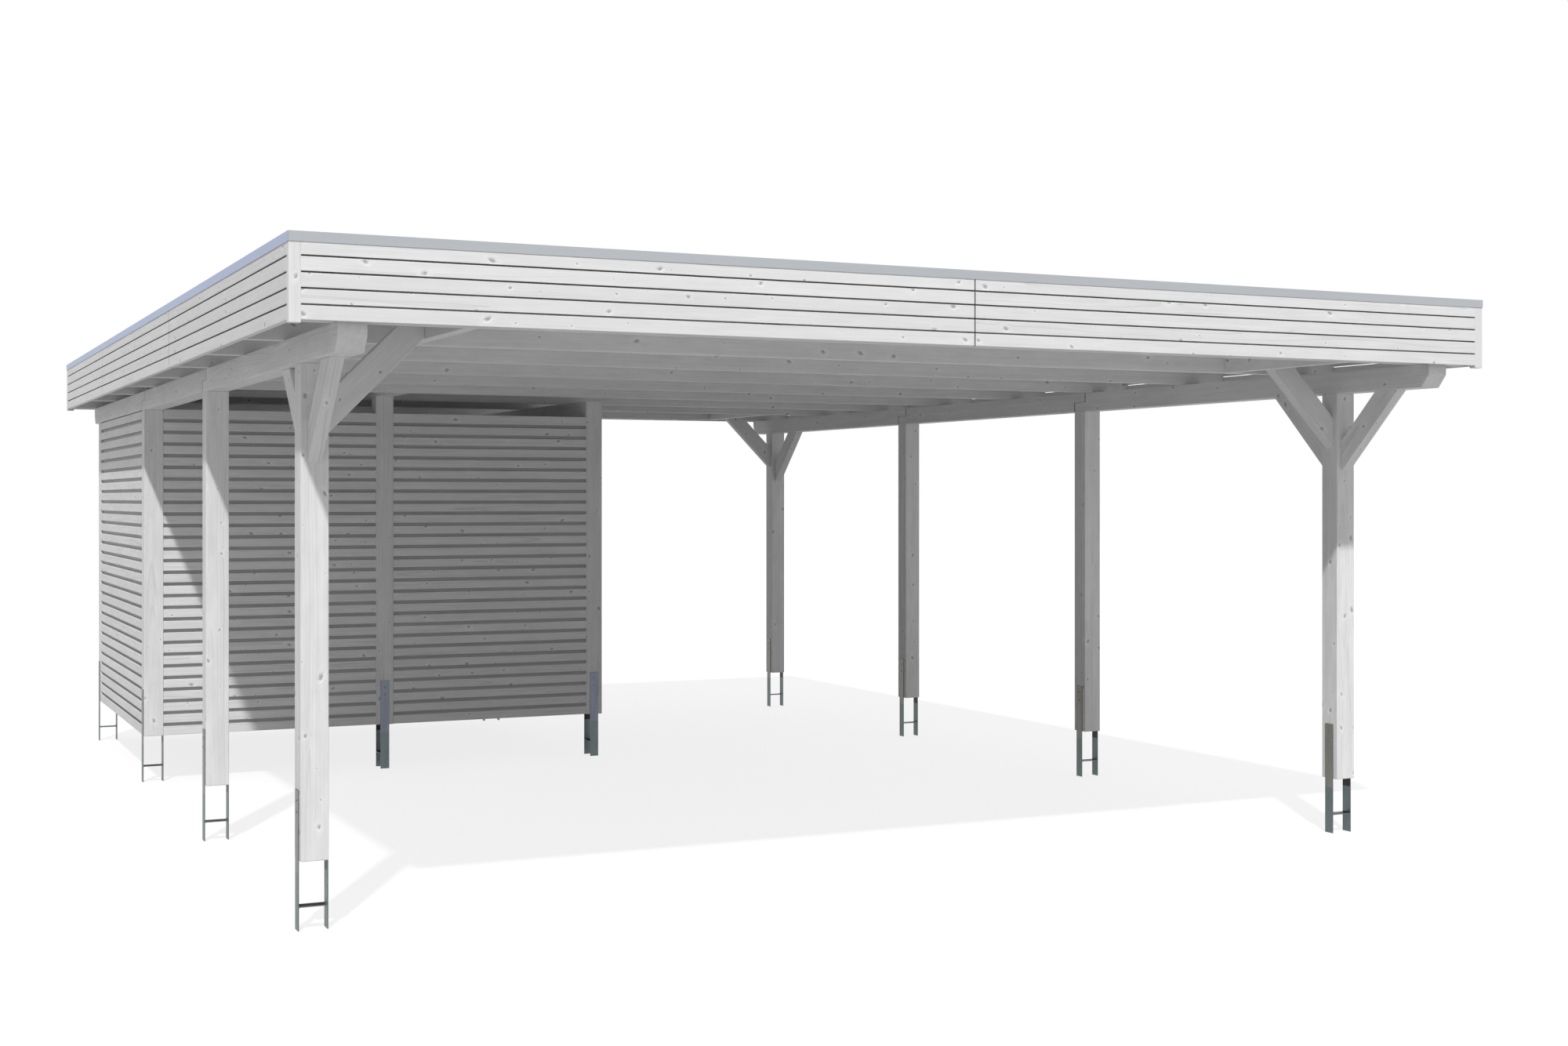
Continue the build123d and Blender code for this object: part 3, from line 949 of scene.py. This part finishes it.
def mark_painted_leg_shade(bm):
    """1 on the faces of a leg that look at the other leg of its anchor, where painted shade goes."""
    mark = bm.loops.layers.float.new("leg_shade_painted")
    bm.normal_update()
    tree = bvhtree.BVHTree.FromBMesh(bm)
    for face in bm.faces:
        start = face.calc_center_median() + face.normal * CLEAR_OF_LEG
        upright = abs(face.normal.z) < LYING
        hit = upright and tree.ray_cast(start, face.normal, LEG_DISTANCE)[0] is not None
        for loop in face.loops:
            loop[mark] = float(hit)


for node in nodes_named("anchors_"):
    anchors = eased_solids(ANCHOR_EASE, node)
    mark_painted_leg_shade(anchors)
    piece(anchors, node + "_steel", "galvanised_steel", anchor_steel, node)
piece(eased_solids(EDGE_METAL_EASE, "roof_trim"), "roof_edge_cap", "edge_metal", edge_metal,
      "roof_trim")
piece(eased_solids(FITTING_EASE, "store_door_fittings"), "door_hinges_and_handle",
      "fittings_metal", fitting_steel, "store_door_fittings")


# Screws and welds of the post anchors
SCREW_DROPS = (0.045, 0.095)
SCREW_HEAD = [(0, 0.0009), (0.0019, 0.0009), (0.0021, 0.0026), (0.0034, 0.0028), (0.0048, 0.0020),
              (0.0055, 0.0006), (0.0055, 0.0)]
IN_FRONT = 0.004
WELD_SIZE = 0.0032
WELD_BULGE = 0.62
WELD_END = 0.002


def behind_wall(point):
    for name in nodes_named("store_wall_"):
        low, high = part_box(name)
        if low.x < point.x < high.x and low.y < point.y < high.y:
            return True
    return False


def weld_pair(bm, face, inward):
    """A bead over and a bead under the cross bar, along the inner face of one leg."""
    along = Vector((0, 0, 1)).cross(inward)
    turn = Matrix((along, inward, (0, 0, 1))).transposed().to_4x4()
    reach = BAR_WIDTH / 2 - WELD_END
    bulge = WELD_SIZE * WELD_BULGE
    for level, up in ((BAR_BOTTOM + ANCHOR_THICKNESS, 1), (BAR_BOTTOM, -1)):
        place = Matrix.Translation((face.x, face.y, level)) @ turn
        section = [(0, 0), (WELD_SIZE, 0), (bulge, up * bulge), (0, up * WELD_SIZE)]
        bar_into(bm, section, -reach, reach, place)


def anchor_details():
    """Screws on the outer face of each leg, unless a wall covers it, and welds on the inner."""
    screws, welds = bmesh.new(), bmesh.new()
    for low, high in [box for node in nodes_named("anchors_") for box in solid_boxes(node)]:
        middle = (low + high) / 2
        axis = 0 if high.x - low.x > high.y - low.y else 1
        for side in (-1, 1):
            out = Vector((0, 0, 0))
            out[axis] = side
            face = middle.copy()
            face[axis] = high[axis] if side > 0 else low[axis]
            if not behind_wall(face + out * IN_FRONT):
                for drop in SCREW_DROPS:
                    place = facing_out((face.x, face.y, high.z - drop), out)
                    turned_into(screws, SCREW_HEAD, place)
            weld_pair(welds, face - out * ANCHOR_THICKNESS, -out)
    outward(screws)
    outward(welds)
    piece(screws, "anchor_screws", "galvanised_steel", screw_steel)
    piece(welds, "anchor_welds", "galvanised_steel", anchor_steel)


anchor_details()


# Screws of the hinges and of the handle plate, and the keyhole
FITTING_SCREW_HEAD = [(0, 0.0006), (0.0016, 0.0006), (0.0018, 0.0016), (0.0030, 0.0017),
                      (0.0042, 0.0010), (0.0046, 0.0)]
STRAP_SCREWS = (0.035, 0.115, 0.195, 0.275, 0.345)
PLATE_SCREWS = (0.020, 0.044)
SHORTEST_STRAP = 0.3
HANDLE_PLATE_SCREW = 0.098
HANDLE_PLATE_MIDDLE = 0.021
KEYHOLE_DROP = 0.060
KEYHOLE_RADIUS = 0.0042
KEYHOLE_SLOT = 0.0018
KEYHOLE_LENGTH = 0.013
KEYHOLE_PROUD = 0.0003
KEYHOLE_SUNK = 0.0001


def keyhole(bm, face, y, z):
    """A near-black round disc with a slot below it, just proud of the plate, as painted shade in
    place of a hole.
    """
    rim = [(0, KEYHOLE_PROUD), (KEYHOLE_RADIUS, KEYHOLE_PROUD), (KEYHOLE_RADIUS, 0.0)]
    turned_into(bm, rim, facing_out((face, y, z), (1, 0, 0)))
    box_into(bm, (face - KEYHOLE_SUNK, y - KEYHOLE_SLOT, z - KEYHOLE_LENGTH),
             (face + KEYHOLE_PROUD, y + KEYHOLE_SLOT, z))


def door_details():
    """All of it stands on the front of the hinges or of the handle plate, which face +X."""
    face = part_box("store_wall_right")[1].x + HINGE_PLATE
    screws, hole = bmesh.new(), bmesh.new()
    for near, far in solid_boxes("store_door_fittings"):
        level = (near.z + far.z) / 2
        if far.y - near.y > SHORTEST_STRAP:
            places = [(near.y + step, level) for step in STRAP_SCREWS]
            places += [(far.y - step, level) for step in PLATE_SCREWS]
        else:
            middle = near.y + HANDLE_PLATE_MIDDLE
            places = [(middle, level + side * HANDLE_PLATE_SCREW) for side in (-1, 1)]
            keyhole(hole, face, middle, level - KEYHOLE_DROP)
        for y, z in places:
            turned_into(screws, FITTING_SCREW_HEAD, facing_out((face, y, z), (1, 0, 0)))
    outward(screws)
    outward(hole)
    piece(screws, "door_fitting_screws", "fittings_metal", screw_steel)
    piece(hole, "door_keyhole", "fittings_metal", painted_keyhole_shade)


door_details()


# Roof sheet, in strips that lap, and turned up inside the metal edge
STRIP_WIDTH = 1.0
STRIP_STEPS = 5
SHEET_COLUMNS = 40
SHEET_SINK = 0.001
SHEET_WAVES = ((1.7, 3.0, 0.0007), (9.0, 8.0, 0.0002))
LAP_WIDTH = 0.080
LAP_STEP = 0.0003
LAP_HEIGHT = 0.0016
LAP_FADE = LAP_WIDTH * 1.5
TURN_UP = 0.0485
TURN_REACH = 0.110
TURN_COVE = 0.014
TURN_COVE_STEPS = 4
TURN_BACK = 0.0002
TURN_FACE = 0.0015
TURN_LIFT = 0.0006
TURN_THICKNESS = 0.0012


def sheet_height(x, y):
    """Faint waves in the sheet."""
    return sum(height * noise.noise(Vector((x * scale, y * scale, level)))
               for scale, level, height in SHEET_WAVES)


def sheet_rows(low, high):
    """The y and the rise of each row of points, with a step up where one strip laps another."""
    rows = [(low, 0.0)]
    strips = round((high - low) / STRIP_WIDTH)
    width = (high - low) / strips
    for i in range(strips):
        start, end = low + i * width, low + (i + 1) * width
        if i:
            rows += [(start, 0.0), (start + LAP_STEP, LAP_HEIGHT), (start + LAP_WIDTH, LAP_HEIGHT),
                     (start + LAP_FADE, 0.0)]
        for step in range(1, STRIP_STEPS):
            rows.append((start + LAP_FADE + (end - start - LAP_FADE) * step / STRIP_STEPS, 0.0))
    return rows + [(high, 0.0)]


def flat_sheet(low, high):
    """The waved top, the plain underside and the edge between."""
    bm = bmesh.new()
    grid = []
    for y, rise in sheet_rows(low.y, high.y):
        row = []
        for i in range(SHEET_COLUMNS + 1):
            x = low.x + (high.x - low.x) * i / SHEET_COLUMNS
            row.append(bm.verts.new((x, y, high.z - SHEET_SINK + rise + sheet_height(x, y))))
        grid.append(row)
    for near, far in zip(grid, grid[1:]):
        for i in range(SHEET_COLUMNS):
            bm.faces.new((near[i], near[i + 1], far[i + 1], far[i]))
    right, left = [row[-1] for row in grid[1:]], [row[0] for row in grid[-2:0:-1]]
    ring = grid[0] + right + grid[-1][-2::-1] + left
    under = [bm.verts.new((v.co.x, v.co.y, low.z)) for v in ring]
    for i in range(len(ring)):
        j = (i + 1) % len(ring)
        bm.faces.new((ring[j], ring[i], under[i], under[j]))
    bm.faces.new(under)
    outward(bm)
    return bm


def turned_up_edges(low, high):
    """A strip along each side that lies on the sheet and runs up the upstand in a cove."""
    bm = bmesh.new()
    middle = (low + high) / 2
    width, depth = high.x - low.x, high.y - low.y
    base, top = high.z + TURN_LIFT, high.z + TURN_UP
    section = [(TURN_BACK, base), (TURN_BACK, top), (TURN_FACE, top)]
    for i in range(TURN_COVE_STEPS + 1):
        angle = math.radians(90 * i / TURN_COVE_STEPS)
        section.append((TURN_FACE + TURN_COVE * (1 - math.cos(angle)),
                        base + TURN_COVE * (1 - math.sin(angle))))
    section += [(TURN_REACH, base), (TURN_REACH, base - TURN_THICKNESS),
                (TURN_COVE, base - TURN_THICKNESS)]
    for turn, length, reach in ((0, width, depth), (90, depth, width), (180, width, depth),
                                (270, depth, width)):
        place = Matrix.Translation((middle.x, middle.y, 0))
        place = place @ Matrix.Rotation(math.radians(turn), 4, "Z")
        rings = [[bm.verts.new(place @ Vector((end * (length / 2 - d), d - reach / 2, z)))
                  for d, z in section] for end in (-1, 1)]
        close_rings(bm, *rings)
    return bm


def whole_sheet():
    low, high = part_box("roof_sheet")
    bm = flat_sheet(low, high)
    join(bm, turned_up_edges(low, high))
    piece(bm, "roof_sheet_and_turn_up", "sheet_rubber", roof_sheet, "roof_sheet")


whole_sheet()


# Floor, light and camera
def grey(value):
    return (value, value, value, 1)


def seen_rays(s):
    """1 for rays that show a thing to the camera, straight or by a reflection, and 0 for light."""
    path = s.node("LightPath").outputs
    seen = s.math("MAXIMUM", path["Is Camera Ray"], path["Is Glossy Ray"])
    return s.math("MAXIMUM", seen, path["Is Transmission Ray"])


def floor():
    """Almost white where it is seen, with a pale shadow, and a plain grey for the light."""
    s = Shader(bpy.data.materials.new("floor_finish"))
    plain = s.node("BsdfDiffuse", {"Color": grey(FLOOR_TONE)}).outputs[0]
    pale = s.node("BsdfDiffuse", {"Color": grey(FLOOR_SHADOW_DEPTH)}).outputs[0]
    glow = s.node("Emission", {"Color": grey(1.0), "Strength": FLOOR_GLOW}).outputs[0]
    lifted = s.node("AddShader", {0: pale, 1: glow}).outputs[0]
    mixed = s.node("MixShader", {0: seen_rays(s), 1: plain, 2: lifted}).outputs[0]
    s.node("OutputMaterial", {"Surface": mixed})
    bm = bmesh.new()
    bmesh.ops.create_grid(bm, x_segments=1, y_segments=1, size=FLOOR_SIZE / 2)
    mesh = bpy.data.meshes.new("floor")
    bm.to_mesh(mesh)
    bm.free()
    mesh.materials.append(s.owner)
    made = bpy.data.objects.new("floor", mesh)
    bpy.context.scene.collection.objects.link(made)
    made.location.z = -FLOOR_DROP


def world():
    """Soft light, strongest in front and overhead, and plain white where it is seen."""
    made = bpy.data.worlds.new("studio")
    bpy.context.scene.world = made
    s = Shader(made)
    direction = s.parts(s.node("TexCoord").outputs["Generated"])
    toward_front = s.product(direction[1], -1.0)
    ahead = s.math("POWER", s.math("MAXIMUM", toward_front, 0.0), 2.0)
    overhead = s.math("POWER", s.math("MAXIMUM", direction[2], 0.0), 2.0)
    strength = s.math("MULTIPLY_ADD", ahead, SKY_IN_FRONT, SKY_ALL_ROUND)
    strength = s.math("MULTIPLY_ADD", overhead, SKY_OVERHEAD, strength)
    sky = s.node("Background", {"Color": grey(1.0), "Strength": strength}).outputs[0]
    white = s.node("Background", {"Color": grey(1.0), "Strength": 1.0}).outputs[0]
    mixed = s.node("MixShader", {0: seen_rays(s), 1: sky, 2: white}).outputs[0]
    s.node("OutputWorld", {"Surface": mixed})


def sun():
    lamp = bpy.data.lights.new("sun", "SUN")
    lamp.energy = SUN_STRENGTH
    lamp.angle = SUN_SOFTNESS
    made = bpy.data.objects.new("sun", lamp)
    made.rotation_euler = SUN_TRAVEL.to_track_quat("-Z", "Y").to_euler()
    bpy.context.scene.collection.objects.link(made)


def camera():
    data = bpy.data.cameras.new("camera")
    data.sensor_width = SENSOR_WIDTH
    data.sensor_fit = "HORIZONTAL"
    data.lens = LENS
    data.shift_x = (PICTURE_WIDTH / 2 - PRINCIPAL_X) / PICTURE_WIDTH
    data.shift_y = (PRINCIPAL_Y - PICTURE_HEIGHT / 2) / PICTURE_WIDTH
    data.clip_end = CAMERA_REACH
    made = bpy.data.objects.new("camera", data)
    made.location = CAMERA_PLACE
    made.rotation_euler = (math.pi / 2, 0, CAMERA_HEADING)
    bpy.context.scene.collection.objects.link(made)
    bpy.context.scene.camera = made


floor()
world()
sun()
camera()
bpy.context.scene.view_settings.view_transform = "Standard"
